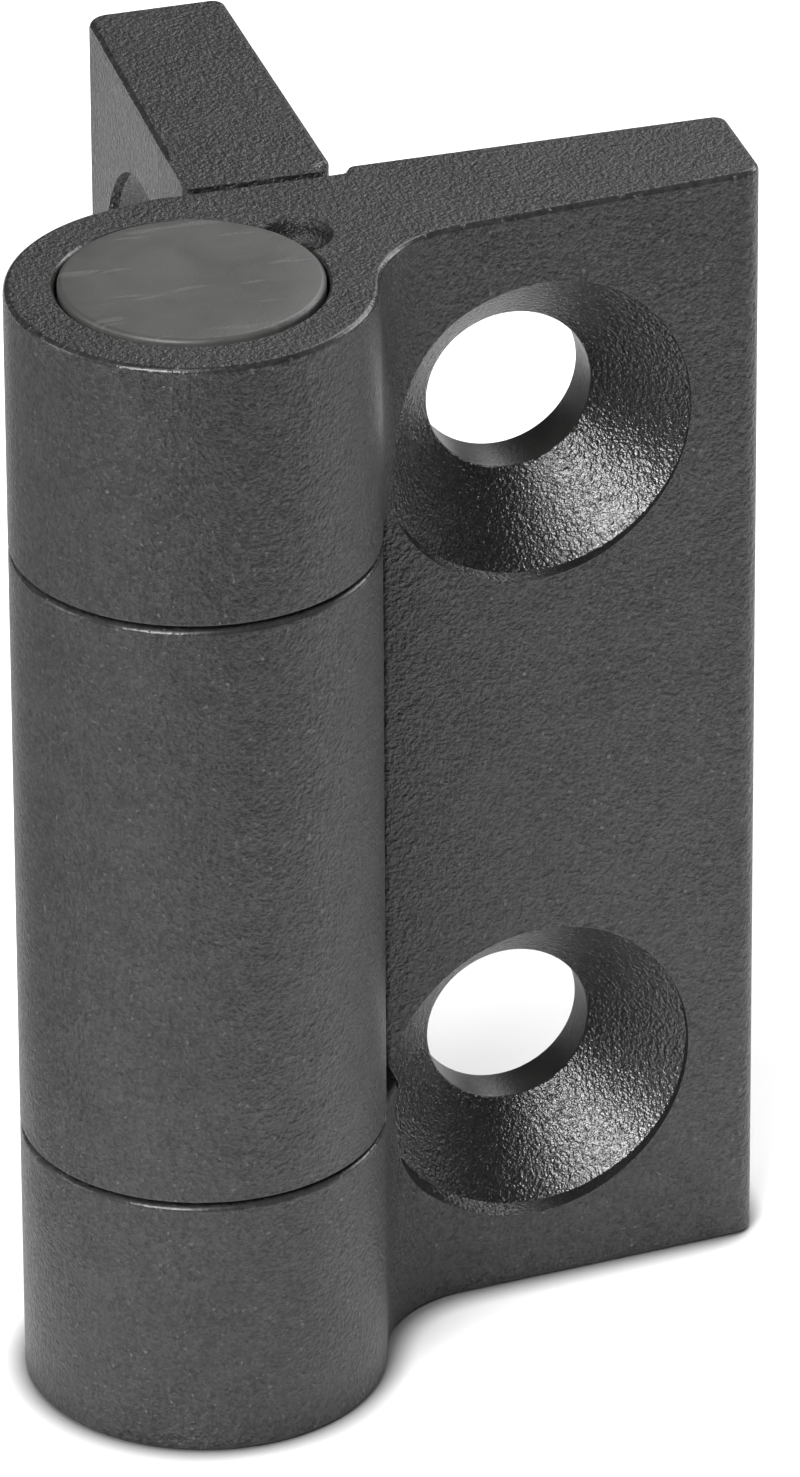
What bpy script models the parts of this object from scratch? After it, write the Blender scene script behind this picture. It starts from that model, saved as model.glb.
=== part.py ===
"""Square knuckle hinge, 60 mm tall, for doors, gates, guards and panels.

Two die-cast wings turn about one vertical pin.  The fixed wing carries the top
and bottom knuckles, the moving wing the middle one.  The wings are modelled back
to back at their 90 degree stop: the fixed wing's leaf runs along +X, the moving
wing's leaf along +Y.

Frame: +Z runs up the pin, +Y is the outward normal of the fixed wing's mounting
face, +X runs from the pin towards that wing's free end.  The origin is on the
mounting face, midway between the fixed wing's two screw holes.

All dimensions below are in millimetres and are measured in hinge coordinates,
with the pin's axis at x = y = 0 and z = 0 at half height.  Every object is a
child of the empty "hinge_axis", which stands on the pin's axis.
"""

import math

import bmesh
import bpy
from mathutils import Matrix, Vector

MM = 0.001

# ---------------------------------------------------------------- overall
HEIGHT = 60.0            # wings and barrel
BARREL_R = 9.05          # outside of the knuckles
BACK = 10.0              # pin axis to either wing's mounting face
REACH = 29.85            # pin axis to either wing's free end
HOLE_REACH = 18.0        # pin axis to the screw holes
HOLE_Z = 18.0            # screw holes above and below half height

# ---------------------------------------------------------------- leaves
NEAR_EDGE = 9.65         # pin axis to the leaf's edge where it faces the other wing
WEB_BACK = 9.35          # back of a knuckle's web, 0.65 below the mounting face
WEB_STEP = 10.3          # where the web's back steps up to the mounting face
FIXED_ROOT_T = 8.4       # leaf thickness at the near edge
FIXED_TIP_T = 6.45       # and at the free end
MOVING_ROOT_T = 7.65
MOVING_TIP_T = 7.1
FILLET_R = 6.0           # hollow between knuckle and front face
NEAR_CORNER_R = 0.5      # upright edge, front face to near edge
FRONT_CORNER_R = 1.1     # upright edge, front face to end face
BACK_CORNER_R = 0.7      # upright edge, mounting face to end face
WEB_TANGENT = 101.0      # where the web leaves the barrel, degrees

# ---------------------------------------------------------------- knuckles
LOW_SPLIT = -16.0        # top of the fixed wing's lower knuckle
HIGH_SPLIT = 16.2        # bottom of its upper knuckle
SPLIT_GAP = 0.25         # daylight between knuckles

# ---------------------------------------------------------------- screw holes
HOLE_R = 4.2             # clearance hole
# z, depth of the clearance hole's mouth from the pin's axis plane, where the cone
# ends, and the cone's large radius
HOLES = ((+HOLE_Z, 7.2, 3.3, 8.10),
         (-HOLE_Z, 7.5, 3.55, 8.15))

# ---------------------------------------------------------------- pin and bearings
PIN_R = 4.0
PIN_END = 27.8           # pin ends above and below half height
PIN_CHAMFER = 0.5
GROOVE_R = 3.0
GROOVE_IN = 26.05        # groove's inner and outer face
GROOVE_OUT = 27.05
PIN_BORE_R = 4.06        # in the fixed wing's knuckles
SLEEVE_IN_R = 4.08       # bush on the pin
SLEEVE_OUT_R = 4.95
SLEEVE_LENGTH = 9.0
FLANGE_R = 6.3
FLANGE_T = 0.95
SEAT_R = 5.03            # bush seat in the middle knuckle
SEAT_DEPTH = 10.3
RECESS_R = 6.45          # flange recess in the middle knuckle
RECESS_DEPTH = 0.9
RELIEF_R = 4.3           # middle knuckle's bore between the bushes

# ---------------------------------------------------------------- barrel ends
WELL_R = 6.6             # counterbore that takes washer, ring and cap
WELL_FLOOR = 25.0
WASHER_IN_R = 4.1
WASHER_OUT_R = 6.3
WASHER_T = 0.9
RING_OUT_R = 5.45
RING_IN_R = 3.08
RING_RELIEF_R = 4.15
RING_T = 0.85
CAP_R = 6.45
CAP_WALL = 0.75
CAP_PLATE = 1.15
CAP_DEPTH = 3.4
CAP_CHAMFER = 0.25
CAP_PROUD = 0.22         # how far the top cap stands above the barrel
NOTCH_REACH = 7.0        # pry notch beside the cap
NOTCH_ANGLE = 30.0
NOTCH_R = 1.75
NOTCH_DEPTH = 1.3

ROUND = 40               # facets on bores and pins
BARREL_STEP = 6.0        # degrees between facets on the knuckles

BIG = 40.0               # past every wing, for cutters

AXIS_AT = Vector((-HOLE_REACH * MM, -BACK * MM, 0.0))


# ================================================================ helpers
def clear_scene():
    for obj in list(bpy.data.objects):
        bpy.data.objects.remove(obj, do_unlink=True)


def material(name, colour, roughness, metallic):
    mat = bpy.data.materials.new(name)
    mat.use_nodes = True
    shader = mat.node_tree.nodes["Principled BSDF"]
    shader.inputs["Base Color"].default_value = (*colour, 1.0)
    shader.inputs["Roughness"].default_value = roughness
    shader.inputs["Metallic"].default_value = metallic
    mat.diffuse_color = (*colour, 1.0)
    return mat


def link(name, bm, parent, mat=None):
    """Turn a bmesh into a linked object, with outward faces and smooth rounds."""
    bmesh.ops.remove_doubles(bm, verts=bm.verts, dist=0.0005 * MM)
    bmesh.ops.recalc_face_normals(bm, faces=bm.faces)
    mesh = bpy.data.meshes.new(name)
    bm.to_mesh(mesh)
    bm.free()
    mesh.shade_smooth()
    mesh.set_sharp_from_angle(angle=math.radians(30.0))
    obj = bpy.data.objects.new(name, mesh)
    bpy.context.scene.collection.objects.link(obj)
    obj.parent = parent
    if mat is not None:
        mesh.materials.append(mat)
    return obj


def prism(outline, low, high):
    """Extrude a flat outline of (x, y) points from z = low to z = high."""
    bm = bmesh.new()
    verts = [bm.verts.new((x * MM, y * MM, low * MM)) for x, y in outline]
    face = bm.faces.new(verts)
    moved = bmesh.ops.extrude_face_region(bm, geom=[face])
    top = [g for g in moved["geom"] if isinstance(g, bmesh.types.BMVert)]
    bmesh.ops.translate(bm, verts=top, vec=(0.0, 0.0, (high - low) * MM))
    return bm


def turned(profile, steps=ROUND):
    """Spin a closed profile of (radius, z) points about the Z axis."""
    bm = bmesh.new()
    verts = [bm.verts.new((r * MM, 0.0, z * MM)) for r, z in profile]
    edges = [bm.edges.new((verts[i], verts[(i + 1) % len(verts)]))
             for i in range(len(verts))
             if profile[i][0] > 0.0 or profile[(i + 1) % len(verts)][0] > 0.0]
    bmesh.ops.spin(bm, geom=verts + edges, cent=(0.0, 0.0, 0.0), axis=(0.0, 0.0, 1.0),
                   dvec=(0.0, 0.0, 0.0), angle=2.0 * math.pi, steps=steps,
                   use_merge=True, use_duplicate=False)
    bmesh.ops.remove_doubles(bm, verts=bm.verts, dist=0.001 * MM)
    return bm


def arc(cx, cy, radius, start, end, steps):
    """Points on an arc from start to end, in degrees, both ends included."""
    return [(cx + radius * math.cos(math.radians(start + (end - start) * i / steps)),
             cy + radius * math.sin(math.radians(start + (end - start) * i / steps)))
            for i in range(steps + 1)]


def corner(prev, here, after, radius, steps):
    """Points that round the corner at `here` between two straight runs."""
    a = (Vector(prev) - Vector(here)).normalized()
    b = (Vector(after) - Vector(here)).normalized()
    half = a.angle(b) / 2.0
    centre = Vector(here) + (a + b).normalized() * (radius / math.sin(half))
    first = Vector(here) + a * (radius / math.tan(half))
    last = Vector(here) + b * (radius / math.tan(half))
    t0 = math.atan2(first.y - centre.y, first.x - centre.x)
    t1 = math.atan2(last.y - centre.y, last.x - centre.x)
    while t1 - t0 > math.pi:
        t1 -= 2.0 * math.pi
    while t0 - t1 > math.pi:
        t1 += 2.0 * math.pi
    return [(centre.x + radius * math.cos(t0 + (t1 - t0) * i / steps),
             centre.y + radius * math.sin(t0 + (t1 - t0) * i / steps))
            for i in range(steps + 1)]


def cut(obj, cutter):
    """Take a cutter out of an object with an exact Boolean."""
    cutter.hide_render = True
    cutter.display_type = "WIRE"
    mod = obj.modifiers.new("cut_" + cutter.name, "BOOLEAN")
    mod.operation = "DIFFERENCE"
    mod.solver = "EXACT"
    mod.object = cutter


# ================================================================ wing outline
def wing_front(root_t, tip_t):
    """Slope and height of the front face, and the centre of the fillet's arc."""
    slope = (root_t - tip_t) / (REACH - NEAR_EDGE)

    def front(x):
        return BACK - root_t + (x - NEAR_EDGE) * slope

    # The fillet touches the knuckle outside and the sloping front face below.
    drop = FILLET_R * math.hypot(1.0, slope)
    base = front(0.0) - drop
    a = 1.0 + slope * slope
    b = 2.0 * base * slope
    c = base * base - (BARREL_R + FILLET_R) ** 2
    fx = (-b + math.sqrt(b * b - 4.0 * a * c)) / (2.0 * a)
    return slope, front, fx, base + slope * fx


def gap_outline(root_t, tip_t):
    """Plan of what is cut from a wing where the other wing's knuckle turns.

    It clears the knuckle and web up to the leaf's near edge, and the fillet back
    to the plain front face.
    """
    slope, front, fx, fy = wing_front(root_t, tip_t)
    touch = fx - FILLET_R * slope / math.hypot(1.0, slope)
    edge = corner((touch, front(touch)), (NEAR_EDGE, front(NEAR_EDGE)), (NEAR_EDGE, BACK),
                  NEAR_CORNER_R, 3)
    return ([(-BIG, -BIG), (touch, -BIG), (touch, front(touch))] + edge
            + [(NEAR_EDGE, BIG), (-BIG, BIG)])


def wing_outline(root_t, tip_t):
    """Plan of a wing with its leaf along +X and its mounting face at +Y.

    The points run anticlockwise: front face outwards, end face, mounting face
    back to the web, round the knuckle, and through the fillet.
    """
    slope, front, fx, fy = wing_front(root_t, tip_t)
    knuckle_end = math.degrees(math.atan2(fy, fx)) % 360.0
    start = knuckle_end - 180.0
    stop = 90.0 + math.degrees(math.atan(slope))

    tip = (REACH, front(REACH))
    points = corner((NEAR_EDGE, front(NEAR_EDGE)), tip, (REACH, BACK), FRONT_CORNER_R, 4)
    points += corner(tip, (REACH, BACK), (WEB_STEP, BACK), BACK_CORNER_R, 3)
    points += [(WEB_STEP + 0.4, BACK), (WEB_STEP, WEB_BACK)]
    # The web's back leaves the knuckle along a tangent and levels off.
    t = math.radians(WEB_TANGENT)
    tx, ty = BARREL_R * math.cos(t), BARREL_R * math.sin(t)
    points.append((tx + (WEB_BACK - ty) * math.sin(t) / -math.cos(t), WEB_BACK))
    steps = round((knuckle_end - WEB_TANGENT) / BARREL_STEP)
    points += arc(0.0, 0.0, BARREL_R, WEB_TANGENT, knuckle_end, steps)
    points += arc(fx, fy, FILLET_R, start, stop, 8)[1:]
    return points


def swapped(outline):
    """The same plan with its leaf along +Y and its mounting face at +X."""
    return [(y, x) for x, y in reversed(outline)]


# ================================================================ build
clear_scene()

axis_empty = bpy.data.objects.new("hinge_axis", None)
axis_empty.empty_display_type = "SINGLE_ARROW"
axis_empty.empty_display_size = 0.04
axis_empty.location = AXIS_AT
bpy.context.scene.collection.objects.link(axis_empty)

powder_coat = material("powder_coat", (0.045, 0.044, 0.043), 0.55, 0.1)
powder_coat_moving = material("powder_coat_moving", (0.045, 0.044, 0.043), 0.55, 0.1)
cap_plastic = material("cap_plastic", (0.10, 0.10, 0.098), 0.45, 0.0)
bush_plastic = material("bush_plastic", (0.03, 0.03, 0.03), 0.40, 0.0)
pin_steel = material("pin_steel", (0.60, 0.60, 0.59), 0.25, 1.0)
washer_steel = material("washer_steel", (0.55, 0.55, 0.54), 0.35, 1.0)
ring_steel = material("ring_steel", (0.16, 0.16, 0.17), 0.40, 1.0)

HALF = HEIGHT / 2.0

# ---- fixed wing: outer knuckles and their leaf
fixed_wing = link("fixed_wing", prism(wing_outline(FIXED_ROOT_T, FIXED_TIP_T), -HALF, HALF),
                  axis_empty, powder_coat)
room = link("fixed_gap_cutter",
            prism(gap_outline(FIXED_ROOT_T, FIXED_TIP_T), LOW_SPLIT, HIGH_SPLIT), axis_empty)
cut(fixed_wing, room)
bore = link("fixed_bore_cutter",
            turned([(0.0, -HALF - 1.0), (WELL_R, -HALF - 1.0), (WELL_R, -WELL_FLOOR),
                    (PIN_BORE_R, -WELL_FLOOR), (PIN_BORE_R, WELL_FLOOR),
                    (WELL_R, WELL_FLOOR), (WELL_R, HALF + 1.0), (0.0, HALF + 1.0)]),
            axis_empty)
cut(fixed_wing, bore)
for label, low, high in (("top", HALF - NOTCH_DEPTH, HALF + 1.0),
                         ("bottom", -HALF - 1.0, -HALF + NOTCH_DEPTH)):
    notch = link("pry_notch_%s_cutter" % label,
                 prism(arc(NOTCH_REACH * math.cos(math.radians(NOTCH_ANGLE)),
                           NOTCH_REACH * math.sin(math.radians(NOTCH_ANGLE)),
                           NOTCH_R, 4.0, 349.0, 23), low, high), axis_empty)
    cut(fixed_wing, notch)

# ---- moving wing: middle knuckle and its leaf
moving_wing = link("moving_wing",
                   prism(swapped(wing_outline(MOVING_ROOT_T, MOVING_TIP_T)), -HALF, HALF),
                   axis_empty, powder_coat_moving)
MID_LOW = LOW_SPLIT + SPLIT_GAP
MID_HIGH = HIGH_SPLIT - SPLIT_GAP
for label, low, high in (("lower", -HALF - 1.0, MID_LOW), ("upper", MID_HIGH, HALF + 1.0)):
    room = link("moving_%s_gap_cutter" % label,
                prism(swapped(gap_outline(MOVING_ROOT_T, MOVING_TIP_T)), low, high),
                axis_empty)
    cut(moving_wing, room)
bore = link("moving_bore_cutter",
            turned([(0.0, MID_LOW - 1.0), (RECESS_R, MID_LOW - 1.0),
                    (RECESS_R, MID_LOW + RECESS_DEPTH), (SEAT_R, MID_LOW + RECESS_DEPTH),
                    (SEAT_R, MID_LOW + SEAT_DEPTH), (RELIEF_R, MID_LOW + SEAT_DEPTH),
                    (RELIEF_R, MID_HIGH - SEAT_DEPTH), (SEAT_R, MID_HIGH - SEAT_DEPTH),
                    (SEAT_R, MID_HIGH - RECESS_DEPTH), (RECESS_R, MID_HIGH - RECESS_DEPTH),
                    (RECESS_R, MID_HIGH + 1.0), (0.0, MID_HIGH + 1.0)]), axis_empty)
cut(moving_wing, bore)

# ---- countersunk screw holes, drilled from the mounting face towards the front
for wing, tag, turn, place in (
        (fixed_wing, "fixed", Matrix.Rotation(math.radians(-90.0), 4, "X"),
         lambda z: (HOLE_REACH * MM, 0.0, z * MM)),
        (moving_wing, "moving", Matrix.Rotation(math.radians(90.0), 4, "Y"),
         lambda z: (0.0, HOLE_REACH * MM, z * MM))):
    for number, (z, mouth, cone_end, sink_r) in enumerate(HOLES):
        drill = link("%s_screw_%d_cutter" % (tag, number + 1),
                     turned([(0.0, BACK + 1.0), (HOLE_R, BACK + 1.0), (HOLE_R, mouth),
                             (sink_r, cone_end), (sink_r, -6.0), (0.0, -6.0)]), axis_empty)
        drill.matrix_local = Matrix.Translation(place(z)) @ turn
        cut(wing, drill)

# ---- pin, grooved at both ends
hinge_pin = link("hinge_pin",
                 turned([(0.0, -PIN_END), (PIN_R - PIN_CHAMFER, -PIN_END),
                         (PIN_R, -PIN_END + PIN_CHAMFER), (PIN_R, -GROOVE_OUT),
                         (GROOVE_R, -GROOVE_OUT), (GROOVE_R, -GROOVE_IN),
                         (PIN_R, -GROOVE_IN), (PIN_R, GROOVE_IN), (GROOVE_R, GROOVE_IN),
                         (GROOVE_R, GROOVE_OUT), (PIN_R, GROOVE_OUT),
                         (PIN_R, PIN_END - PIN_CHAMFER), (PIN_R - PIN_CHAMFER, PIN_END),
                         (0.0, PIN_END)]), axis_empty, pin_steel)

# ---- flanged bushes in the middle knuckle; each flange stands 0.15 proud of the
# knuckle and is the thrust face against the fixed wing
FLANGE_PROUD = 0.15
for name, end, way in (("lower_bush", MID_LOW, 1.0), ("upper_bush", MID_HIGH, -1.0)):
    face = end - way * FLANGE_PROUD
    shoulder = face + way * FLANGE_T
    tail = shoulder + way * SLEEVE_LENGTH
    link(name, turned([(SLEEVE_IN_R, face), (FLANGE_R, face), (FLANGE_R, shoulder),
                       (SLEEVE_OUT_R, shoulder), (SLEEVE_OUT_R, tail),
                       (SLEEVE_IN_R, tail)]), axis_empty, bush_plastic)

# ---- washers and retaining rings in the wells at both ends of the barrel
LIFT = 0.1
for end, way in (("lower", -1.0), ("upper", 1.0)):
    z0 = way * (WELL_FLOOR + LIFT)
    z1 = z0 + way * WASHER_T
    link("%s_washer" % end, turned([(WASHER_IN_R, z0), (WASHER_OUT_R, z0),
                                    (WASHER_OUT_R, z1), (WASHER_IN_R, z1)]),
         axis_empty, washer_steel)
    # Open ring with three lugs that sit in the groove; it opens towards -Y.
    outline = []
    for k in range(0, 49):
        angle = -50.0 + 280.0 * k / 48.0
        outline.append((RING_OUT_R * math.cos(math.radians(angle)),
                        RING_OUT_R * math.sin(math.radians(angle))))
    for k in range(48, -1, -1):
        angle = -50.0 + 280.0 * k / 48.0
        lug = min(abs(angle + 38.0), abs(angle - 90.0), abs(angle - 218.0)) < 15.0
        r = RING_IN_R if lug else RING_RELIEF_R
        outline.append((r * math.cos(math.radians(angle)), r * math.sin(math.radians(angle))))
    mid = way * (GROOVE_IN + GROOVE_OUT) / 2.0
    link("%s_retaining_ring" % end, prism(outline, mid - RING_T / 2.0, mid + RING_T / 2.0),
         axis_empty, ring_steel)

# ---- end caps: a chamfered disc with a skirt that grips the well; the top one
# stands slightly proud and the bottom one is pressed in just below the casting
for name, way, face in (("bottom_cap", -1.0, HALF - 0.1), ("top_cap", 1.0, HALF + CAP_PROUD)):
    link(name, turned([(0.0, way * face), (CAP_R - CAP_CHAMFER, way * face),
                       (CAP_R, way * (face - CAP_CHAMFER)), (CAP_R, way * (face - CAP_DEPTH)),
                       (CAP_R - CAP_WALL, way * (face - CAP_DEPTH)),
                       (CAP_R - CAP_WALL, way * (face - CAP_PLATE)),
                       (0.0, way * (face - CAP_PLATE))]), axis_empty, cap_plastic)
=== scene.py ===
"""Looks of the square knuckle hinge: fine meshes, powder coat, plastic and steel, studio.

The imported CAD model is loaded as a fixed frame.  Each casting, cap, bush and pin is
then replaced by a finer mesh of the same dimensions, with its edges rounded as a
painted die casting's are.  Lengths below are in millimetres in hinge coordinates:
the pin's axis is x = y = 0 and z = 0 is half height, the fixed wing's leaf runs
along +X with its mounting face at y = +10, and the moving wing's leaf runs along +Y
with its mounting face at x = +10.
"""

import math

import bmesh
import bpy
from mathutils import Matrix, Vector


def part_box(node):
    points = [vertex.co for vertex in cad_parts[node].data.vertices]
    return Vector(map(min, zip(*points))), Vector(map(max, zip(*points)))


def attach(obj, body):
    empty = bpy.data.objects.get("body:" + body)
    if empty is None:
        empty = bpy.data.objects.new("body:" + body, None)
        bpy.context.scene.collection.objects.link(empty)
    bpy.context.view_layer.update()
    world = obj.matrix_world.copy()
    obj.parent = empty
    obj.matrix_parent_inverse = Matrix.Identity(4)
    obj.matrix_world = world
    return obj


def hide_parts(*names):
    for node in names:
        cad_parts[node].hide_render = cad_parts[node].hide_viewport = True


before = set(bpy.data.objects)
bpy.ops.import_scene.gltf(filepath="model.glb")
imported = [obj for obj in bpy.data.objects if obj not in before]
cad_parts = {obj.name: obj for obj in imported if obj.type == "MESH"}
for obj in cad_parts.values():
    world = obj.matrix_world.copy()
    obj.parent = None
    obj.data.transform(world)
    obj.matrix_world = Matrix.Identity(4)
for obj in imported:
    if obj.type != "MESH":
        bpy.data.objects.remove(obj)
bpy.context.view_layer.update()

MM = 0.001
pin_low, pin_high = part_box("hinge_pin")
AXIS = Vector(((pin_low.x + pin_high.x) / 2, (pin_low.y + pin_high.y) / 2, 0.0))
wing_low, wing_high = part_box("fixed_wing")

# ------------------------------------------------------------------ dimensions, mm
HALF = (wing_high.z - wing_low.z) / MM / 2.0
BARREL_R = (AXIS.x - wing_low.x) / MM
BACK = (wing_high.y - AXIS.y) / MM
REACH = (wing_high.x - AXIS.x) / MM
HOLE_REACH = 18.0
HOLE_R = 4.2
HOLES = ((18.0, 7.2, 3.3, 8.10), (-18.0, 7.5, 3.55, 8.15))
NEAR_EDGE = 9.65
WEB_BACK = 9.35
WEB_STEP = 10.3
FIXED_ROOT_T, FIXED_TIP_T = 8.4, 6.45
MOVING_ROOT_T, MOVING_TIP_T = 7.65, 7.1
FILLET_R = 6.0
WEB_TANGENT = 101.0
LOW_SPLIT, HIGH_SPLIT, SPLIT_GAP = -16.0, 16.2, 0.25
MID_LOW, MID_HIGH = LOW_SPLIT + SPLIT_GAP, HIGH_SPLIT - SPLIT_GAP
WELL_R, WELL_FLOOR = 6.6, 25.0
NOTCH_REACH, NOTCH_ANGLE, NOTCH_R, NOTCH_DEPTH = 7.0, 30.0, 1.75, 1.3
BIG = 40.0

RIM = 0.32               # rounding of the castings' top and bottom edges
SPLIT_RIM = 0.30         # rounding of the knuckles' edges at the splits, where they face up
SPLIT_RIM_UNDER = 0.10   # and where they face down
SINK_RIM = 0.24          # rounding of the countersinks' rims


# ------------------------------------------------------------------ mesh helpers
def away(x, y, z):
    return (AXIS.x + x * MM, AXIS.y + y * MM, z * MM)


def arc(cx, cy, radius, start, end, step=3.0, convex=True):
    """Points with outward normals on an arc, both ends included; degrees."""
    steps = max(2, int(math.ceil(abs(end - start) / step)))
    points = []
    for i in range(steps + 1):
        t = math.radians(start + (end - start) * i / steps)
        c, s = math.cos(t), math.sin(t)
        sign = 1.0 if convex else -1.0
        points.append((cx + radius * c, cy + radius * s, sign * c, sign * s))
    return points


def corner(prev, here, after, radius, step=9.0):
    """Points with outward normals that round a corner of an anticlockwise outline."""
    a = (Vector(prev) - Vector(here)).normalized()
    b = (Vector(after) - Vector(here)).normalized()
    half = a.angle(b) / 2.0
    centre = Vector(here) + (a + b).normalized() * (radius / math.sin(half))
    first = Vector(here) + a * (radius / math.tan(half)) - centre
    last = Vector(here) + b * (radius / math.tan(half)) - centre
    t0, t1 = math.degrees(math.atan2(first.y, first.x)), math.degrees(math.atan2(last.y, last.x))
    while t1 - t0 > 180.0:
        t1 -= 360.0
    while t0 - t1 > 180.0:
        t1 += 360.0
    return arc(centre.x, centre.y, radius, t0, t1, step, convex=t1 > t0)


def loft(outline, levels):
    """A closed body through copies of an outline, each at a height and moved inwards."""
    bm = bmesh.new()
    rings = [[bm.verts.new((x - nx * inset, y - ny * inset, z)) for x, y, nx, ny in outline]
             for z, inset in levels]
    n = len(outline)
    for low, high in zip(rings, rings[1:]):
        for i in range(n):
            j = (i + 1) % n
            bm.faces.new((low[i], low[j], high[j], high[i]))
    bm.faces.new(list(reversed(rings[0])))
    bm.faces.new(rings[-1])
    return bm


def rim_levels(low, high, low_r, high_r, steps=6):
    """Heights and insets that round the lower and upper edge of an outline."""
    levels = []
    if low_r > 0.0:
        for i in range(steps, 0, -1):
            t = math.radians(90.0 * i / steps)
            levels.append((low + low_r * (1.0 - math.sin(t)), low_r * (1.0 - math.cos(t))))
        levels.append((low + low_r, 0.0))
    else:
        levels.append((low, 0.0))
    if high_r > 0.0:
        levels.append((high - high_r, 0.0))
        for i in range(1, steps + 1):
            t = math.radians(90.0 * i / steps)
            levels.append((high - high_r * (1.0 - math.sin(t)), high_r * (1.0 - math.cos(t))))
    else:
        levels.append((high, 0.0))
    return levels


def rounded_profile(points, radii, step=15.0):
    """A closed (radius, z) profile with each corner rounded by its own radius."""
    out = []
    n = len(points)
    for i in range(n):
        if radii[i] > 0.0:
            out += [(p[0], p[1]) for p in
                    corner(points[i - 1], points[i], points[(i + 1) % n], radii[i], step)]
        else:
            out.append(points[i])
    return out


def turned(profile, steps=144):
    """Spin a closed profile of (radius, z) points about Z, without doubled points."""
    bm = bmesh.new()
    rings = []
    for r, z in profile:
        if r < 1e-6:
            rings.append([bm.verts.new((0.0, 0.0, z))])
        else:
            rings.append([bm.verts.new((r * math.cos(2 * math.pi * k / steps),
                                        r * math.sin(2 * math.pi * k / steps), z))
                          for k in range(steps)])
    for a, b in zip(rings, rings[1:] + rings[:1]):
        if len(a) == 1 and len(b) == 1:
            continue
        for k in range(steps):
            m = (k + 1) % steps
            if len(a) == 1:
                bm.faces.new((a[0], b[k], b[m]))
            elif len(b) == 1:
                bm.faces.new((a[k], b[0], a[m]))
            else:
                bm.faces.new((a[k], b[k], b[m], a[m]))
    return bm


def obj_from(name, bm, smooth=40.0):
    """Millimetre bmesh in hinge coordinates to an object in the row frame."""
    bmesh.ops.recalc_face_normals(bm, faces=bm.faces)
    mesh = bpy.data.meshes.new(name)
    bm.to_mesh(mesh)
    bm.free()
    mesh.transform(Matrix.Translation(AXIS) @ Matrix.Scale(MM, 4))
    mesh.shade_smooth()
    mesh.set_sharp_from_angle(angle=math.radians(smooth))
    obj = bpy.data.objects.new(name, mesh)
    bpy.context.scene.collection.objects.link(obj)
    return obj


def booleans(bm, cutters):
    """bm with the cutters taken out of it, one exact Boolean after another."""
    scratch = []

    def temp(b):
        bmesh.ops.recalc_face_normals(b, faces=b.faces)
        mesh = bpy.data.meshes.new("scratch")
        b.to_mesh(mesh)
        b.free()
        obj = bpy.data.objects.new("scratch", mesh)
        bpy.context.scene.collection.objects.link(obj)
        scratch.append(obj)
        return obj

    body = temp(bm)
    for cutter in cutters:
        mod = body.modifiers.new("cut", "BOOLEAN")
        mod.operation = "DIFFERENCE"
        mod.solver = "EXACT"
        mod.object = temp(cutter)
    bpy.context.view_layer.update()
    done = body.evaluated_get(bpy.context.evaluated_depsgraph_get()).to_mesh()
    out = bmesh.new()
    out.from_mesh(done)
    for obj in scratch:
        mesh = obj.data
        bpy.data.objects.remove(obj)
        bpy.data.meshes.remove(mesh)
    bmesh.ops.remove_doubles(out, verts=out.verts, dist=1e-4)
    return out


# ------------------------------------------------------------------ wing plan
def front_line(root_t, tip_t):
    slope = (root_t - tip_t) / (REACH - NEAR_EDGE)

    def front(x):
        return BACK - root_t + (x - NEAR_EDGE) * slope

    drop = FILLET_R * math.hypot(1.0, slope)
    base = front(0.0) - drop
    a, b = 1.0 + slope * slope, 2.0 * base * slope
    c = base * base - (BARREL_R + FILLET_R) ** 2
    fx = (-b + math.sqrt(b * b - 4.0 * a * c)) / (2.0 * a)
    return slope, front, fx, base + slope * fx


def wing_plan(root_t, tip_t):
    """Anticlockwise plan of a wing with its leaf along +X, with outward normals."""
    slope, front, fx, fy = front_line(root_t, tip_t)
    knuckle_end = math.degrees(math.atan2(fy, fx)) % 360.0
    tip, heel = (REACH, front(REACH)), (REACH, BACK)
    root = (NEAR_EDGE + 2.0, front(NEAR_EDGE + 2.0))
    step_top, step_low = (WEB_STEP + 0.4, BACK), (WEB_STEP, WEB_BACK)
    t = math.radians(WEB_TANGENT)
    tx, ty = BARREL_R * math.cos(t), BARREL_R * math.sin(t)
    bend = (tx + (WEB_BACK - ty) * math.sin(t) / -math.cos(t), WEB_BACK)
    points = corner(root, tip, heel, 1.1, 6.0)
    points += corner(tip, heel, step_top, 0.7, 9.0)
    points += corner(heel, step_top, step_low, 0.45, 12.0)
    points += corner(step_top, step_low, bend, 0.3, 12.0)
    points += corner(step_low, bend, (tx, ty), 4.0, 3.0)
    points += arc(0.0, 0.0, BARREL_R, WEB_TANGENT, knuckle_end, 1.5)
    start, stop = knuckle_end - 180.0, 90.0 + math.degrees(math.atan(slope))
    points += arc(fx, fy, FILLET_R, start, stop, 2.5, convex=False)[1:]
    return points


def gap_plan(root_t, tip_t):
    """Plan of the room that the other wing's knuckle turns in."""
    slope, front, fx, fy = front_line(root_t, tip_t)
    touch = fx - FILLET_R * slope / math.hypot(1.0, slope)
    edge = corner((touch, front(touch)), (NEAR_EDGE, front(NEAR_EDGE)), (NEAR_EDGE, BACK),
                  0.5, 10.0)
    return ([(-BIG, -BIG), (touch, -BIG), (touch, front(touch))]
            + [(p[0], p[1]) for p in edge] + [(NEAR_EDGE, BIG), (-BIG, BIG)])


def slab(plan, low, high):
    return loft([(x, y, 0.0, 0.0) for x, y in plan], [(low, 0.0), (high, 0.0)])


def mirrored(bm):
    """Swap x and y, which takes the fixed wing's plan to the moving wing's."""
    for v in bm.verts:
        v.co.x, v.co.y = v.co.y, v.co.x
    bmesh.ops.reverse_faces(bm, faces=bm.faces)
    return bm


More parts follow.
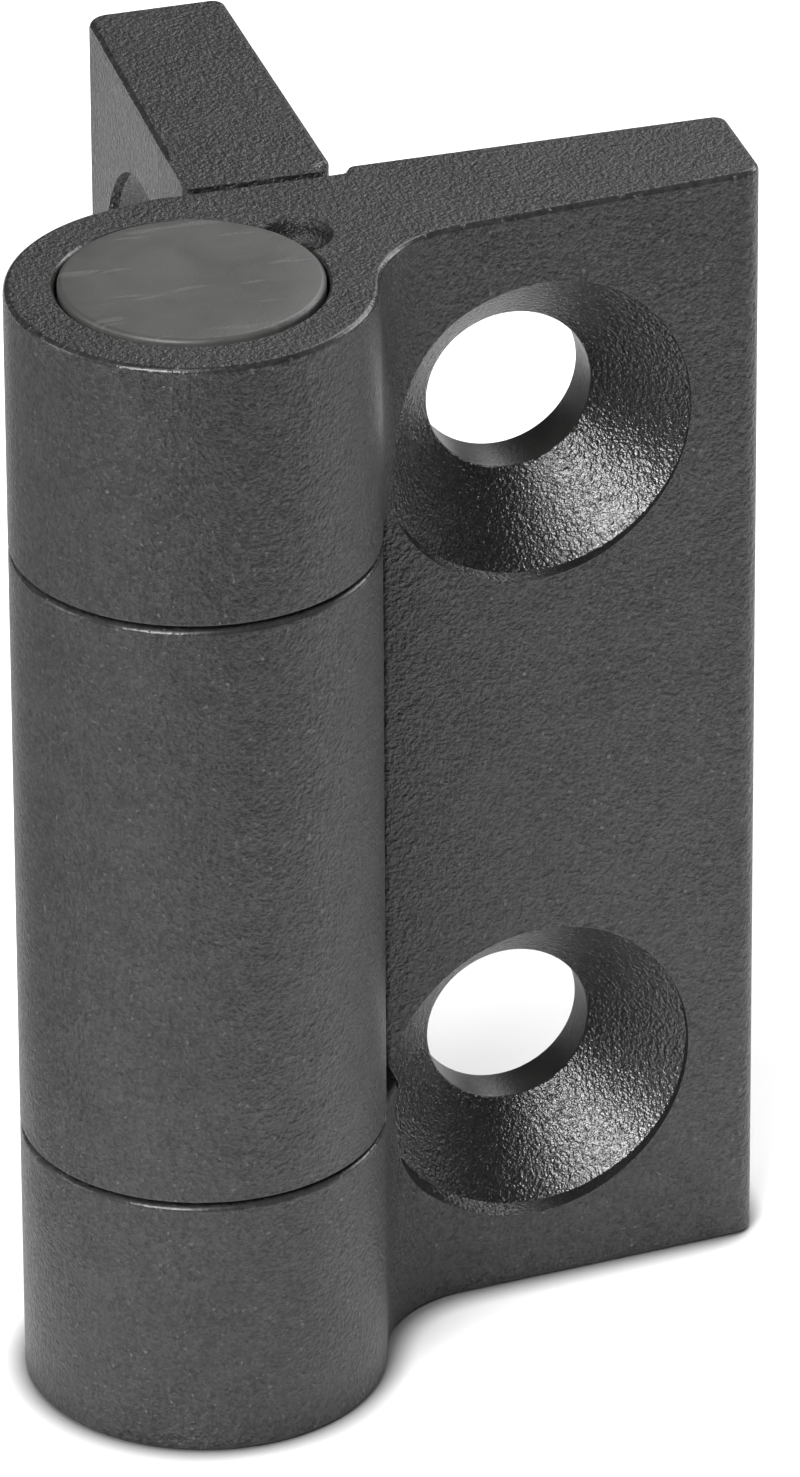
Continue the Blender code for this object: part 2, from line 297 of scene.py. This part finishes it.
def screw_cutter(z, mouth, cone_end, sink_r):
    """Hole, cone and mouth along -Y, with the hole's rounded edges."""
    points = [(0.0, BACK + 1.0), (HOLE_R + 0.25, BACK + 1.0), (HOLE_R + 0.25, BACK - 0.001),
              (HOLE_R, BACK - 0.25), (HOLE_R, mouth), (sink_r, cone_end), (sink_r, -6.0),
              (0.0, -6.0)]
    profile = rounded_profile(points, [0, 0, 0, 0.2, 0.28, 0.1, 0, 0])
    bm = turned(profile, 160)
    turn = Matrix.Rotation(math.radians(-90.0), 4, "X")
    bm.transform(Matrix.Translation((HOLE_REACH, 0.0, z)) @ turn)
    return bm


def bore_cutter(points, radii):
    return turned(rounded_profile(points, radii), 144)


def notch_cutter(low, high):
    """The pry notch: a short slot beside the cap with a dished floor."""
    a = math.radians(NOTCH_ANGLE)
    bm = turned([(0.0, -0.18), (0.6, -0.15), (1.1, -0.06), (1.45, 0.1), (1.65, 0.32),
                 (NOTCH_R, 0.6), (NOTCH_R, NOTCH_DEPTH - 0.25), (NOTCH_R + 0.06, NOTCH_DEPTH - 0.1),
                 (NOTCH_R + 0.2, NOTCH_DEPTH + 0.01), (NOTCH_R + 0.2, 3.0), (0.0, 3.0)], 64)
    bm.transform(Matrix.Translation((NOTCH_REACH * math.cos(a), NOTCH_REACH * math.sin(a), 0.0)))
    if low < 0.0:
        bm.transform(Matrix.Scale(-1.0, 4, (0.0, 0.0, 1.0)))
        bmesh.ops.reverse_faces(bm, faces=bm.faces)
        bm.transform(Matrix.Translation((0.0, 0.0, high)))
    else:
        bm.transform(Matrix.Translation((0.0, 0.0, low)))
    return bm


def soften(bm, chosen, width, segments=3, clamp=True):
    """Round the chosen edges of a cut body."""
    if chosen:
        bmesh.ops.bevel(bm, geom=chosen, offset=width, offset_type="OFFSET", segments=segments,
                        profile=0.5, affect="EDGES", clamp_overlap=clamp, loop_slide=False)


def sink_rim_edges(bm):
    """Edges where a countersink's mouth meets the leaf's front."""
    bm.normal_update()
    chosen = []
    for e in bm.edges:
        if len(e.link_faces) != 2 or e.calc_face_angle(0.0) < math.radians(12.0):
            continue
        for z, mouth, cone_end, sink_r in HOLES:
            if all(abs(math.hypot(v.co.x - HOLE_REACH, v.co.z - z) - sink_r) < 0.02
                   and v.co.y < cone_end - 0.25 for v in e.verts):
                mid = (e.verts[0].co + e.verts[1].co) / 2
                inner = [math.hypot(f.calc_center_median().x - HOLE_REACH,
                                    f.calc_center_median().z - z) < sink_r + 0.002
                         and abs(f.normal.y) < 0.3 for f in e.link_faces]
                if inner[0] != inner[1] and mid.y < cone_end:
                    chosen.append(e)
    return chosen


def split_rim_edges(bm, heights, fillet_stop):
    """Outer edges of the knuckles at the splits, short of where the fillet runs out."""
    bm.normal_update()
    chosen = []
    for e in bm.edges:
        if len(e.link_faces) != 2 or e.calc_face_angle(0.0) < math.radians(50.0):
            continue
        flat = [abs(f.normal.z) > 0.9 for f in e.link_faces]
        if flat[0] == flat[1] or not e.is_convex:
            continue
        for height in heights:
            if all(abs(v.co.z - height) < 1e-3 and math.hypot(v.co.x, v.co.y) > BARREL_R - 0.1
                   and v.co.x < fillet_stop for v in e.verts):
                chosen.append(e)
    return chosen


def weighted(obj):
    mod = obj.modifiers.new("weighted", "WEIGHTED_NORMAL")
    mod.keep_sharp = True
    mod.weight = 90
    return obj


# ------------------------------------------------------------------ the pieces
def make_wing(name, root_t, tip_t, moving):
    slope, front, fx, fy = front_line(root_t, tip_t)
    bm = loft(wing_plan(root_t, tip_t), rim_levels(-HALF, HALF, RIM, RIM))
    cutters = []
    if moving:
        cutters.append(slab(gap_plan(root_t, tip_t), -HALF - 1.0, MID_LOW))
        cutters.append(slab(gap_plan(root_t, tip_t), MID_HIGH, HALF + 1.0))
        cutters.append(bore_cutter(
            [(0.0, MID_LOW - 1.0), (6.45, MID_LOW - 1.0), (6.45, MID_LOW + 0.9),
             (5.03, MID_LOW + 0.9), (5.03, MID_LOW + 10.3), (4.3, MID_LOW + 10.3),
             (4.3, MID_HIGH - 10.3), (5.03, MID_HIGH - 10.3), (5.03, MID_HIGH - 0.9),
             (6.45, MID_HIGH - 0.9), (6.45, MID_HIGH + 1.0), (0.0, MID_HIGH + 1.0)],
            [0.0] * 12))
    else:
        cutters.append(slab(gap_plan(root_t, tip_t), LOW_SPLIT, HIGH_SPLIT))
        flare = 0.14
        cutters.append(bore_cutter(
            [(0.0, -HALF - 1.0), (WELL_R + flare, -HALF - 1.0), (WELL_R + flare, -HALF),
             (WELL_R, -HALF + flare), (WELL_R, -WELL_FLOOR), (4.06, -WELL_FLOOR),
             (4.06, WELL_FLOOR), (WELL_R, WELL_FLOOR), (WELL_R, HALF - flare),
             (WELL_R + flare, HALF), (WELL_R + flare, HALF + 1.0), (0.0, HALF + 1.0)],
            [0, 0, 0, 0.12, 0, 0, 0, 0, 0.12, 0, 0, 0]))
        cutters.append(notch_cutter(HALF - NOTCH_DEPTH, HALF + 1.0))
        cutters.append(notch_cutter(-HALF - 1.0, -HALF + NOTCH_DEPTH))
    for hole in HOLES:
        cutters.append(screw_cutter(*hole))
    bm = booleans(bm, cutters)
    soften(bm, sink_rim_edges(bm), SINK_RIM)
    upward, downward = (MID_HIGH, MID_LOW) if moving else (LOW_SPLIT, HIGH_SPLIT)
    soften(bm, split_rim_edges(bm, [upward], fx - 1.9), SPLIT_RIM, 4, False)
    soften(bm, split_rim_edges(bm, [downward], fx - 1.9), SPLIT_RIM_UNDER, 3, False)
    for f in bm.faces:
        c = f.calc_center_median()
        for z, mouth, cone_end, sink_r in HOLES:
            r = math.hypot(c.x - HOLE_REACH, c.z - z)
            if c.y > BACK - 0.3 or r < HOLE_R - 0.05 or r > sink_r + 0.02:
                continue
            if r < HOLE_R + 0.03:
                f.material_index = 2
            elif c.y > cone_end - 0.3 or abs(f.normal.y) < 0.2:
                f.material_index = 1
        a = math.radians(NOTCH_ANGLE)
        if not moving and HALF - NOTCH_DEPTH - 0.3 < abs(c.z) < HALF - 0.02 and math.hypot(
                c.x - NOTCH_REACH * math.cos(a), c.y - NOTCH_REACH * math.sin(a)) < NOTCH_R + 0.25:
            f.material_index = 3
    if moving:
        mirrored(bm)
    return weighted(obj_from(name, bm, 38.0))


fixed_wing = make_wing("fixed_casting", FIXED_ROOT_T, FIXED_TIP_T, False)
moving_wing = make_wing("moving_casting", MOVING_ROOT_T, MOVING_TIP_T, True)


def make_turned(name, points, radii, steps=128):
    return weighted(obj_from(name, turned(rounded_profile(points, radii, 18.0), steps), 38.0))


PIN_R, PIN_END, GROOVE_R, GROOVE_IN, GROOVE_OUT = 4.0, 27.8, 3.0, 26.05, 27.05
pin = make_turned(
    "ground_pin",
    [(0.0, -PIN_END), (PIN_R - 0.5, -PIN_END), (PIN_R, -PIN_END + 0.5), (PIN_R, -GROOVE_OUT),
     (GROOVE_R, -GROOVE_OUT), (GROOVE_R, -GROOVE_IN), (PIN_R, -GROOVE_IN), (PIN_R, GROOVE_IN),
     (GROOVE_R, GROOVE_IN), (GROOVE_R, GROOVE_OUT), (PIN_R, GROOVE_OUT),
     (PIN_R, PIN_END - 0.5), (PIN_R - 0.5, PIN_END), (0.0, PIN_END)],
    [0, 0.1, 0.1, 0.05, 0.1, 0.1, 0.05, 0.05, 0.1, 0.1, 0.05, 0.1, 0.1, 0], 96)

bushes = {}
for tag, end, way in (("lower", MID_LOW, 1.0), ("upper", MID_HIGH, -1.0)):
    face = end - way * 0.15
    shoulder = face + way * 0.95
    tail = shoulder + way * 9.0
    points = [(4.08, face), (6.3, face), (6.3, shoulder), (4.95, shoulder), (4.95, tail),
              (4.08, tail)]
    radii = [0.12, 0.12, 0.1, 0.05, 0.2, 0.12]
    if way < 0.0:
        points, radii = points[::-1], radii[::-1]
    bushes[tag] = make_turned(tag + "_flanged_bush", points, radii, 96)

washers, rings = {}, {}
for tag, way in (("lower", -1.0), ("upper", 1.0)):
    z0, z1 = way * (WELL_FLOOR + 0.1), way * (WELL_FLOOR + 1.0)
    low, high = min(z0, z1), max(z0, z1)
    washers[tag] = make_turned(tag + "_plain_washer",
                               [(4.1, low), (6.3, low), (6.3, high), (4.1, high)],
                               [0.08, 0.15, 0.15, 0.08], 96)
    outline = []
    for k in range(141):
        a = math.radians(-50.0 + 280.0 * k / 140.0)
        outline.append((5.45 * math.cos(a), 5.45 * math.sin(a), math.cos(a), math.sin(a)))
    for k in range(140, -1, -1):
        angle = -50.0 + 280.0 * k / 140.0
        near = min(abs(angle + 38.0), abs(angle - 90.0), abs(angle - 218.0))
        lug = 1.0 / (1.0 + math.exp((near - 15.0) * 1.6))
        a = math.radians(angle)
        r = 4.15 - lug * (4.15 - 3.08)
        outline.append((r * math.cos(a), r * math.sin(a), -math.cos(a), -math.sin(a)))
    mid = way * (GROOVE_IN + GROOVE_OUT) / 2.0
    rings[tag] = weighted(obj_from(tag + "_e_ring",
                                   loft(outline, rim_levels(mid - 0.425, mid + 0.425,
                                                            0.06, 0.06, 2)), 38.0))

CAP_R, CAP_WALL, CAP_PLATE, CAP_DEPTH = 6.45, 0.75, 1.15, 3.4
caps = {}
for tag, way, face in (("bottom", -1.0, HALF - 0.1), ("top", 1.0, HALF + 0.22)):
    # A moulded disc whose face is dished by a few hundredths inside a soft edge.
    points = [(0.0, face - 0.035), (2.5, face - 0.03), (4.6, face - 0.008), (CAP_R, face + 0.0),
              (CAP_R, face - CAP_DEPTH), (CAP_R - CAP_WALL, face - CAP_DEPTH),
              (CAP_R - CAP_WALL, face - CAP_PLATE), (0.0, face - CAP_PLATE)]
    radii = [0, 0, 0, 0.26, 0.2, 0.15, 0.2, 0]
    points = [(r, way * z) for r, z in points]
    if way > 0.0:
        points, radii = points[::-1], radii[::-1]
    caps[tag] = make_turned(tag + "_plug_cap", points, radii, 144)


# ------------------------------------------------------------------ materials
class Graph:
    """Short-hand for a material's node tree."""

    def __init__(self, name):
        self.mat = bpy.data.materials.new(name)
        self.mat.use_nodes = True
        self.tree = self.mat.node_tree
        self.tree.nodes.clear()
        self.out = self.node("ShaderNodeOutputMaterial")
        self.shader = self.node("ShaderNodeBsdfPrincipled")
        self.link(self.shader.outputs[0], self.out.inputs["Surface"])
        self.where = self.node("ShaderNodeTexCoord").outputs["Object"]

    def node(self, kind, **settings):
        made = self.tree.nodes.new(kind)
        for key, value in settings.items():
            setattr(made, key, value)
        return made

    def link(self, a, b):
        self.tree.links.new(a, b)

    def noise(self, scale, detail=2.0, rough=0.5, where=None, distortion=0.0):
        n = self.node("ShaderNodeTexNoise")
        n.inputs["Scale"].default_value = scale
        n.inputs["Detail"].default_value = detail
        n.inputs["Roughness"].default_value = rough
        n.inputs["Distortion"].default_value = distortion
        self.link(where or self.where, n.inputs["Vector"])
        return n.outputs["Fac"]

    def cells(self, scale, feature="F1", where=None, smooth=None):
        n = self.node("ShaderNodeTexVoronoi", feature=feature)
        n.inputs["Scale"].default_value = scale
        if smooth is not None:
            n.inputs["Smoothness"].default_value = smooth
        self.link(where or self.where, n.inputs["Vector"])
        return n.outputs

    def math(self, op, a, b=None, c=None, clamp=False):
        n = self.node("ShaderNodeMath", operation=op, use_clamp=clamp)
        for slot, value in enumerate((a, b, c)):
            if value is None:
                continue
            if isinstance(value, (int, float)):
                n.inputs[slot].default_value = value
            else:
                self.link(value, n.inputs[slot])
        return n.outputs[0]

    def span(self, value, low, high, to_low, to_high, kind="LINEAR"):
        n = self.node("ShaderNodeMapRange", interpolation_type=kind)
        for key, v in (("From Min", low), ("From Max", high), ("To Min", to_low),
                       ("To Max", to_high)):
            n.inputs[key].default_value = v
        self.link(value, n.inputs["Value"])
        return n.outputs[0]

    def mix(self, fac, a, b):
        n = self.node("ShaderNodeMix", data_type="RGBA")
        self.link(fac, n.inputs[0])
        for slot, value in ((6, a), (7, b)):
            if isinstance(value, tuple):
                n.inputs[slot].default_value = (*value, 1.0)
            else:
                self.link(value, n.inputs[slot])
        return n.outputs[2]

    def bump(self, height, strength, distance, after=None):
        n = self.node("ShaderNodeBump")
        n.inputs["Strength"].default_value = strength
        n.inputs["Distance"].default_value = distance
        self.link(height, n.inputs["Height"])
        if after is not None:
            self.link(after, n.inputs["Normal"])
        return n.outputs[0]

    def set(self, **values):
        for key, value in values.items():
            self.shader.inputs[key.replace("_", " ")].default_value = value


def powder_coat(name, rim_gloss_and_highlight_strength=1.0):
    """Black fine-textured powder coat: a mottled grain with raised grains under painted glints,
    glossier at the rims, where a lighter colour paints a highlight.
    """
    g = Graph(name)
    fine = g.noise(4800.0, 2.0, 0.6)
    lumps = g.noise(2500.0, 3.0, 0.55)
    patch = g.noise(420.0, 3.0, 0.6)
    broad = g.noise(90.0, 3.0, 0.55)
    # Glints: one raised grain in some cells, with a lighter colour of uneven brightness that paints a
    # sparkling highlight on it.
    cells = g.cells(2900.0)
    core = g.span(g.math("ADD", cells["Distance"], g.span(fine, 0.3, 0.7, 0.25, -0.25)),
                  0.10, 0.34, 1.0, 0.0, "SMOOTHSTEP")
    parts = g.node("ShaderNodeSeparateColor")
    g.link(cells["Color"], parts.inputs[0])
    luck = g.span(parts.outputs[0], 0.60, 1.0, 0.0, 1.0)
    raised_grain_and_painted_glint = g.math("MULTIPLY", core, g.math("MULTIPLY", luck, luck))
    # The coat flows thin and glossy over rounded rims, which face neither up nor sideways, and a
    # lighter colour there paints a highlight.
    facing = g.node("ShaderNodeNewGeometry")
    axes = g.node("ShaderNodeSeparateXYZ")
    g.link(facing.outputs["Normal"], axes.inputs[0])
    lean = g.math("ABSOLUTE", axes.outputs[2])
    rim = g.math("MULTIPLY", g.span(lean, 0.10, 0.30, 0.0, 1.0, "SMOOTHSTEP"),
                 g.span(lean, 0.90, 0.98, rim_gloss_and_highlight_strength, 0.0, "SMOOTHSTEP"))
    rim_gloss_and_painted_highlight = g.math("MULTIPLY", rim, g.span(lumps, 0.36, 0.60, 0.55, 1.0))
    height = g.math("ADD", g.math("MULTIPLY", fine, 0.8), g.math("MULTIPLY", lumps, 0.7))
    height = g.math("MULTIPLY", height, g.span(rim, 0.0, 1.0, 1.0, 0.15))
    # It also lies smoother on the flat ends than on the sides.
    height = g.math("MULTIPLY", height, g.span(lean, 0.30, 0.98, 1.2, 0.62))
    height = g.math("ADD", height, g.math("MULTIPLY", raised_grain_and_painted_glint, 0.5))
    g.link(g.bump(height, 1.0, 0.00016), g.shader.inputs["Normal"])
    tone = g.math("ADD", g.math("MULTIPLY", lumps, 0.3), g.math("MULTIPLY", patch, 0.2))
    tone = g.math("ADD", tone, g.math("MULTIPLY", fine, 0.5))
    colour = g.mix(g.span(tone, 0.38, 0.62, 0.0, 1.0), (0.0070, 0.0069, 0.0068),
                   (0.0420, 0.0415, 0.0410))
    # Painted glints: the raised grains get a lighter colour.
    colour = g.mix(raised_grain_and_painted_glint, colour, (0.11, 0.11, 0.108))
    # Painted highlight: the rims get a lighter colour.
    colour = g.mix(g.math("MULTIPLY", rim_gloss_and_painted_highlight, 0.2), colour, (0.085, 0.085, 0.083))
    g.link(colour, g.shader.inputs["Base Color"])
    rough = g.math("ADD", g.span(broad, 0.3, 0.7, 0.36, 0.42), g.span(fine, 0.3, 0.7, 0.06, -0.06))
    rough = g.math("SUBTRACT", rough, g.math("MULTIPLY", rim_gloss_and_painted_highlight, 0.22))
    g.link(rough, g.shader.inputs["Roughness"])
    return g.mat


def sink_coat(name):
    """The same coat where it lies thick, glossy and grainy over the countersinks, in a darker colour
    that paints the shade in these recesses.
    """
    g = Graph(name)
    fine = g.noise(7600.0, 1.0, 0.5)
    lumps = g.noise(4300.0, 2.0, 0.5)
    height = g.math("ADD", g.math("MULTIPLY", fine, 0.5), g.math("MULTIPLY", lumps, 0.8))
    g.link(g.bump(height, 1.0, 0.000095), g.shader.inputs["Normal"])
    # Painted shade: the countersinks' colour is darker than the coat on the faces around them.
    colour = g.mix(g.span(lumps, 0.35, 0.65, 0.0, 1.0), (0.007, 0.0069, 0.0068),
                   (0.014, 0.0138, 0.0136))
    g.link(colour, g.shader.inputs["Base Color"])
    g.link(g.span(lumps, 0.3, 0.7, 0.32, 0.26), g.shader.inputs["Roughness"])
    g.set(Specular_IOR_Level=1.0, IOR=1.62)
    return g.mat


def bore_coat(name):
    """Thin smooth coat on the walls of the screw holes."""
    g = Graph(name)
    fine = g.noise(5200.0, 2.0, 0.5)
    broad = g.noise(500.0, 3.0, 0.5)
    g.link(g.bump(fine, 1.0, 0.00002), g.shader.inputs["Normal"])
    colour = g.mix(g.span(broad, 0.35, 0.65, 0.0, 1.0), (0.018, 0.0178, 0.0172),
                   (0.028, 0.0276, 0.0266))
    g.link(colour, g.shader.inputs["Base Color"])
    g.link(g.span(fine, 0.3, 0.7, 0.38, 0.46), g.shader.inputs["Roughness"])
    return g.mat


def plain_plastic(name, colour, rough, scuffs=0.0):
    """Satin moulded plastic, hazy in patches, with scuffs where it has been handled."""
    g = Graph(name)
    haze = g.noise(260.0, 4.0, 0.6, distortion=0.8)
    base = g.mix(g.span(haze, 0.35, 0.65, 0.0, 1.0), tuple(c * 0.88 for c in colour),
                 tuple(c * 1.14 for c in colour))
    fine = g.noise(6000.0, 2.0, 0.5)
    rough_out = g.span(haze, 0.3, 0.7, rough - 0.05, rough + 0.06)
    if scuffs:
        coords = g.node("ShaderNodeTexCoord")
        marks = None
        for turn, scale, thin in ((-24.0, (170.0, 900.0, 170.0), 0.69),
                                  (35.0, (230.0, 1500.0, 230.0), 0.71)):
            place = g.node("ShaderNodeMapping")
            place.inputs["Rotation"].default_value = (0.0, 0.0, math.radians(turn))
            place.inputs["Scale"].default_value = scale
            g.link(coords.outputs["Object"], place.inputs["Vector"])
            streak = g.node("ShaderNodeTexNoise")
            streak.inputs["Scale"].default_value = 1.0
            streak.inputs["Detail"].default_value = 2.0
            streak.inputs["Roughness"].default_value = 0.5
            g.link(place.outputs[0], streak.inputs["Vector"])
            mark = g.span(streak.outputs[0], thin - 0.07, thin, 0.0, 1.0, "SMOOTHSTEP")
            marks = mark if marks is None else g.math("MAXIMUM", marks, mark)
        marks = g.math("MULTIPLY", marks, g.span(fine, 0.35, 0.6, 0.4, 1.0))
        base = g.mix(g.math("MULTIPLY", marks, scuffs), base, tuple(c * 2.0 for c in colour))
        rough_out = g.math("ADD", rough_out, g.math("MULTIPLY", marks, 0.12))
        fine = g.math("ADD", fine, g.math("MULTIPLY", marks, 1.5))
    g.link(base, g.shader.inputs["Base Color"])
    g.link(rough_out, g.shader.inputs["Roughness"])
    g.link(g.bump(fine, 0.8, 0.000008), g.shader.inputs["Normal"])
    return g.mat


def brushed_metal(name, colour, rough):
    g = Graph(name)
    fine = g.noise(2500.0, 3.0, 0.6)
    base = g.mix(fine, tuple(c * 0.93 for c in colour), tuple(min(1.0, c * 1.05) for c in colour))
    g.link(base, g.shader.inputs["Base Color"])
    g.link(g.span(fine, 0.3, 0.7, rough - 0.05, rough + 0.06), g.shader.inputs["Roughness"])
    g.link(g.bump(fine, 0.4, 0.000004), g.shader.inputs["Normal"])
    g.set(Metallic=1.0)
    return g.mat


coat = powder_coat("powder_coat_black")
notch = powder_coat("powder_coat_notch", 0.0)
sink = sink_coat("powder_coat_countersink")
bore = bore_coat("powder_coat_screw_hole")
cap_look = plain_plastic("cap_satin_plastic", (0.075, 0.075, 0.073), 0.42, 0.5)
bush_look = plain_plastic("bush_black_acetal", (0.020, 0.020, 0.020), 0.38)
pin_look = brushed_metal("pin_ground_steel", (0.60, 0.60, 0.59), 0.25)
washer_look = brushed_metal("washer_zinc_plate", (0.55, 0.55, 0.54), 0.35)
ring_look = brushed_metal("ring_spring_steel", (0.16, 0.16, 0.17), 0.40)


def fit(obj, node, body, slot, *looks):
    for look in looks:
        obj.data.materials.append(look)
    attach(obj, body)
    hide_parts(node)


fit(fixed_wing, "fixed_wing", "fixed_side", "powder_coat", coat, sink, bore, notch)
fit(moving_wing, "moving_wing", "moving_side", "powder_coat_moving", coat, sink, bore)
fit(pin, "hinge_pin", "fixed_side", "pin_steel", pin_look)
fit(caps["top"], "top_cap", "fixed_side", "cap_plastic", cap_look)
fit(caps["bottom"], "bottom_cap", "fixed_side", "cap_plastic", cap_look)
for tag in ("lower", "upper"):
    fit(bushes[tag], tag + "_bush", "moving_side", "bush_plastic", bush_look)
    fit(washers[tag], tag + "_washer", "fixed_side", "washer_steel", washer_look)
    fit(rings[tag], tag + "_retaining_ring", "fixed_side", "ring_steel", ring_look)


# ------------------------------------------------------------------ floor
floor_mesh = bpy.data.meshes.new("studio_floor")
fb = bmesh.new()
bmesh.ops.create_circle(fb, cap_ends=True, segments=128, radius=0.62)
fb.to_mesh(floor_mesh)
fb.free()
floor = bpy.data.objects.new("studio_floor", floor_mesh)
floor.location = (0.0, 0.0, wing_low.z - 0.00002)
bpy.context.scene.collection.objects.link(floor)
floor_mat = bpy.data.materials.new("studio_floor_white")
floor_mat.use_nodes = True
fs = floor_mat.node_tree.nodes["Principled BSDF"]
fs.inputs["Roughness"].default_value = 0.9
# Painted contact shadow: the floor's colour darkens by ambient occlusion into a soft dark line where
# the castings stand on it.
ft = floor_mat.node_tree
shade = ft.nodes.new("ShaderNodeAmbientOcclusion")
shade.samples = 16
shade.inputs["Distance"].default_value = 0.0020
painted_contact_shadow_ramp = ft.nodes.new("ShaderNodeMapRange")
for key, v in (("From Min", 0.50), ("From Max", 0.90), ("To Min", 0.20), ("To Max", 0.93)):
    painted_contact_shadow_ramp.inputs[key].default_value = v
ft.links.new(shade.outputs["AO"], painted_contact_shadow_ramp.inputs["Value"])
ft.links.new(painted_contact_shadow_ramp.outputs[0], fs.inputs["Base Color"])
fs.inputs["Specular IOR Level"].default_value = 0.2
floor_mesh.materials.append(floor_mat)

# A black studio flag lies on the floor in front of the set, out of shot.
flag_mesh = bpy.data.meshes.new("studio_flag")
fb = bmesh.new()
bmesh.ops.create_grid(fb, x_segments=1, y_segments=1, size=0.5)
bmesh.ops.scale(fb, vec=(1.0, 0.5, 1.0), verts=fb.verts)
fb.to_mesh(flag_mesh)
fb.free()
flag = bpy.data.objects.new("studio_flag", flag_mesh)
flag.location = (-0.03, -0.085 - 0.25, wing_low.z + 0.0005)
flag.rotation_euler = (0.0, 0.0, math.radians(-6.0))
flag.visible_camera = False
flag.visible_shadow = False
bpy.context.scene.collection.objects.link(flag)
flag_mat = bpy.data.materials.new("studio_flag_black")
flag_mat.use_nodes = True
flag_mat.node_tree.nodes["Principled BSDF"].inputs["Base Color"].default_value = (0.02, 0.02, 0.02, 1.0)
flag_mat.node_tree.nodes["Principled BSDF"].inputs["Roughness"].default_value = 0.9
flag_mesh.materials.append(flag_mat)

# A grey card lies behind the part on the left, and only reflections see it.
card_mesh = bpy.data.meshes.new("studio_grey_card")
fb = bmesh.new()
bmesh.ops.create_grid(fb, x_segments=1, y_segments=1, size=0.5)
bmesh.ops.scale(fb, vec=(0.16, 0.22, 1.0), verts=fb.verts)
fb.to_mesh(card_mesh)
fb.free()
card = bpy.data.objects.new("studio_grey_card", card_mesh)
card.location = (-0.115, 0.105, wing_low.z + 0.0005)
card.visible_camera = False
card.visible_shadow = False
bpy.context.scene.collection.objects.link(card)
card_mat = bpy.data.materials.new("studio_card_grey")
card_mat.use_nodes = True
card_mat.node_tree.nodes["Principled BSDF"].inputs["Base Color"].default_value = (0.42, 0.42, 0.42, 1.0)
card_mat.node_tree.nodes["Principled BSDF"].inputs["Roughness"].default_value = 0.9
card_mesh.materials.append(card_mat)

# ------------------------------------------------------------------ world and lights
# The surroundings are white to the eye and dark to the set, so that the lamps shape it.
world = bpy.data.worlds.new("studio")
bpy.context.scene.world = world
world.use_nodes = True
wt = world.node_tree
wt.nodes.clear()
w_out = wt.nodes.new("ShaderNodeOutputWorld")
w_mix = wt.nodes.new("ShaderNodeMixShader")
w_path = wt.nodes.new("ShaderNodeLightPath")
w_dark = wt.nodes.new("ShaderNodeBackground")
w_dark.inputs["Color"].default_value = (1.0, 1.0, 1.0, 1.0)
w_dark.inputs["Strength"].default_value = 0.02
w_white = wt.nodes.new("ShaderNodeBackground")
w_white.inputs["Color"].default_value = (1.0, 1.0, 1.0, 1.0)
w_white.inputs["Strength"].default_value = 1.05
wt.links.new(w_path.outputs["Is Camera Ray"], w_mix.inputs[0])
wt.links.new(w_dark.outputs[0], w_mix.inputs[1])
wt.links.new(w_white.outputs[0], w_mix.inputs[2])
wt.links.new(w_mix.outputs[0], w_out.inputs["Surface"])


def softbox(name, azimuth, elevation, width, height, power, distance=0.9):
    """A rectangular soft light that faces the part; azimuth 0 is the side of -Y."""
    a, e = math.radians(azimuth), math.radians(elevation)
    place = Vector((math.sin(a) * math.cos(e), -math.cos(a) * math.cos(e),
                    math.sin(e))) * distance
    light = bpy.data.lights.new(name, "AREA")
    light.shape = "RECTANGLE"
    light.size, light.size_y = width, height
    light.energy = power
    obj = bpy.data.objects.new(name, light)
    obj.location = place
    obj.rotation_mode = "QUATERNION"
    obj.rotation_quaternion = (-place).to_track_quat("-Z", "Y")
    bpy.context.scene.collection.objects.link(obj)
    return obj


softbox("light_key", -42, 35, 0.45, 0.4, 8.4)
softbox("light_high", -30, 62, 0.4, 0.4, 1.4)
softbox("light_left", -100, 20, 0.4, 0.4, 1.5)
softbox("light_side", 105, 25, 0.4, 0.4, 2.9)
softbox("light_back", 140, 40, 0.5, 0.5, 3.4)
softbox("light_low", 75, 10, 0.4, 0.3, 0.35)
# The floor's own light keeps it white around the part; it falls on nothing else.
floor_light = softbox("light_floor", 0, 90, 1.6, 1.6, 12.5, 1.0)
floor_only = bpy.data.collections.new("floor_only")
floor_only.objects.link(floor)
floor_light.light_linking.receiver_collection = floor_only

# ------------------------------------------------------------------ camera
CAM_AZ, CAM_EL, CAM_ROLL = math.radians(-16.408), math.radians(28.827), math.radians(-0.320)
right = Vector((math.cos(CAM_AZ), math.sin(CAM_AZ), 0.0))
forward = -Vector((math.sin(CAM_AZ) * math.cos(CAM_EL), -math.cos(CAM_AZ) * math.cos(CAM_EL),
                   math.sin(CAM_EL)))
up = right.cross(forward)
side = right * math.cos(CAM_ROLL) + up * math.sin(CAM_ROLL)
upright = up * math.cos(CAM_ROLL) - right * math.sin(CAM_ROLL)
camera_data = bpy.data.cameras.new("camera")
camera = bpy.data.objects.new("camera", camera_data)
bpy.context.scene.collection.objects.link(camera)
camera.matrix_world = Matrix(((side.x, upright.x, -forward.x, -0.151609 + AXIS.x),
                              (side.y, upright.y, -forward.y, -0.549610 + AXIS.y),
                              (side.z, upright.z, -forward.z, 0.318854),
                              (0.0, 0.0, 0.0, 1.0)))
camera_data.sensor_width = 36.0
camera_data.lens = 326.2
camera_data.clip_start, camera_data.clip_end = 0.01, 20.0
bpy.context.scene.camera = camera

bpy.context.scene.view_settings.view_transform = "Standard"
bpy.context.scene.view_settings.look = "None"
